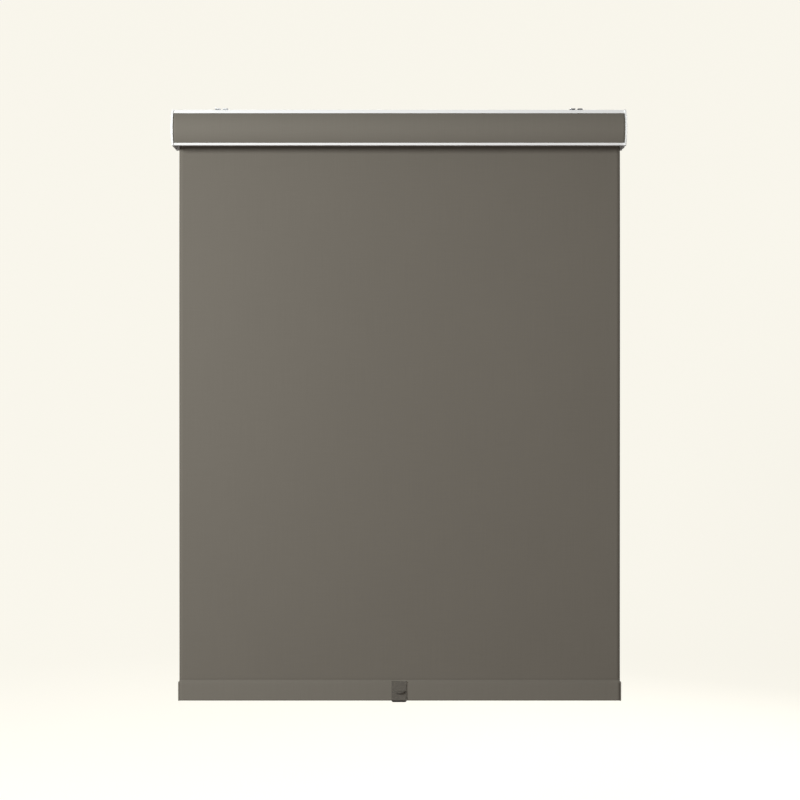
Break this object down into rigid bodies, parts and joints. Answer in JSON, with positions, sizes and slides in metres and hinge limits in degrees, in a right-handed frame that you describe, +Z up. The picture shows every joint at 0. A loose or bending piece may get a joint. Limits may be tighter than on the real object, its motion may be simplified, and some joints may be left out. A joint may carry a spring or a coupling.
{
  "type": "roller blind",
  "caption": "Cordless spring roller blind: curved white cassette with snap brackets, spring roller, taupe blackout cloth, weighted hem bar and a clip-on finger pull.",
  "frame": {"origin": "centre of the four fixing holes, in the top plane of the two mounting brackets", "axes": "+Z up, out of the brackets' top faces; +X to the right as seen from the room; the front of the blind faces -Y"},
  "size_m": [0.908, 0.08, 1.1945],
  "materials": {
    "white_metal": "white powder coat, satin",
    "white_plastic": "white moulding, fine satin",
    "shade_fabric": "taupe-grey blackout cloth, fine plain weave",
    "zinc_steel": "bright zinc plate",
    "spring_steel": "oiled spring steel",
    "mill_aluminium": "mill finish",
    "grey_plastic": "glass-filled nylon",
    "spline_plastic": "extruded plastic",
    "taupe_plastic": "moulding coloured to match the cloth",
    "smoky_plastic": "smoky clear moulding"
  },
  "bodies": {
    "cassette": {"headrail": "white_metal", "fascia": "white_metal", "fascia_insert": "shade_fabric", "end_cap_left": "white_plastic", "end_cap_right": "white_plastic", "end_cap_screws_left": "zinc_steel", "end_cap_screws_right": "zinc_steel", "mounting_bracket_left": "zinc_steel", "mounting_bracket_right": "zinc_steel", "drive_bracket": "grey_plastic", "idle_bush": "grey_plastic", "shaft_head": "grey_plastic", "spring_shaft": "spring_steel", "brake_spring": "spring_steel", "shaft_clip": "spring_steel", "shade_cloth": "shade_fabric"},
    "roller": {"roller_tube": "mill_aluminium", "tube_crown": "grey_plastic", "spring_anchor": "grey_plastic", "power_spring": "spring_steel", "idle_plug": "grey_plastic", "pin_spring": "spring_steel", "fabric_roll": "shade_fabric", "fabric_spline": "spline_plastic"},
    "idle_pin": {"idle_pin": "spring_steel", "pin_retainer": "spring_steel"},
    "hem": {"hem_bar": "mill_aluminium", "hem_pocket": "shade_fabric", "hem_spline": "spline_plastic", "hem_end_cap_left": "taupe_plastic", "hem_end_cap_right": "taupe_plastic", "pull_handle": "smoky_plastic"}
  },
  "joints": [
    {"name": "hem_lift", "type": "slide", "parent": "cassette", "child": "hem", "axis": [0, 0, 1], "range_m": [0, 1.07], "deforming": ["shade_cloth"]},
    {"name": "roller_turn", "type": "hinge", "parent": "cassette", "child": "roller", "pos_m": [0, -0.002, -0.0385], "axis": [1, 0, 0], "range_deg": [0, 2860]},
    {"name": "idle_pin_slide", "type": "slide", "parent": "roller", "child": "idle_pin", "axis": [1, 0, 0], "range_m": [-0.005, 0], "stiffness_N_per_m": 400, "springref_m": 0.01, "deforming": ["pin_spring"]}
  ],
  "couplings": [
    {"joint": "roller_turn", "follows": "hem_lift", "rad_per_m": 46.63}
  ]
}
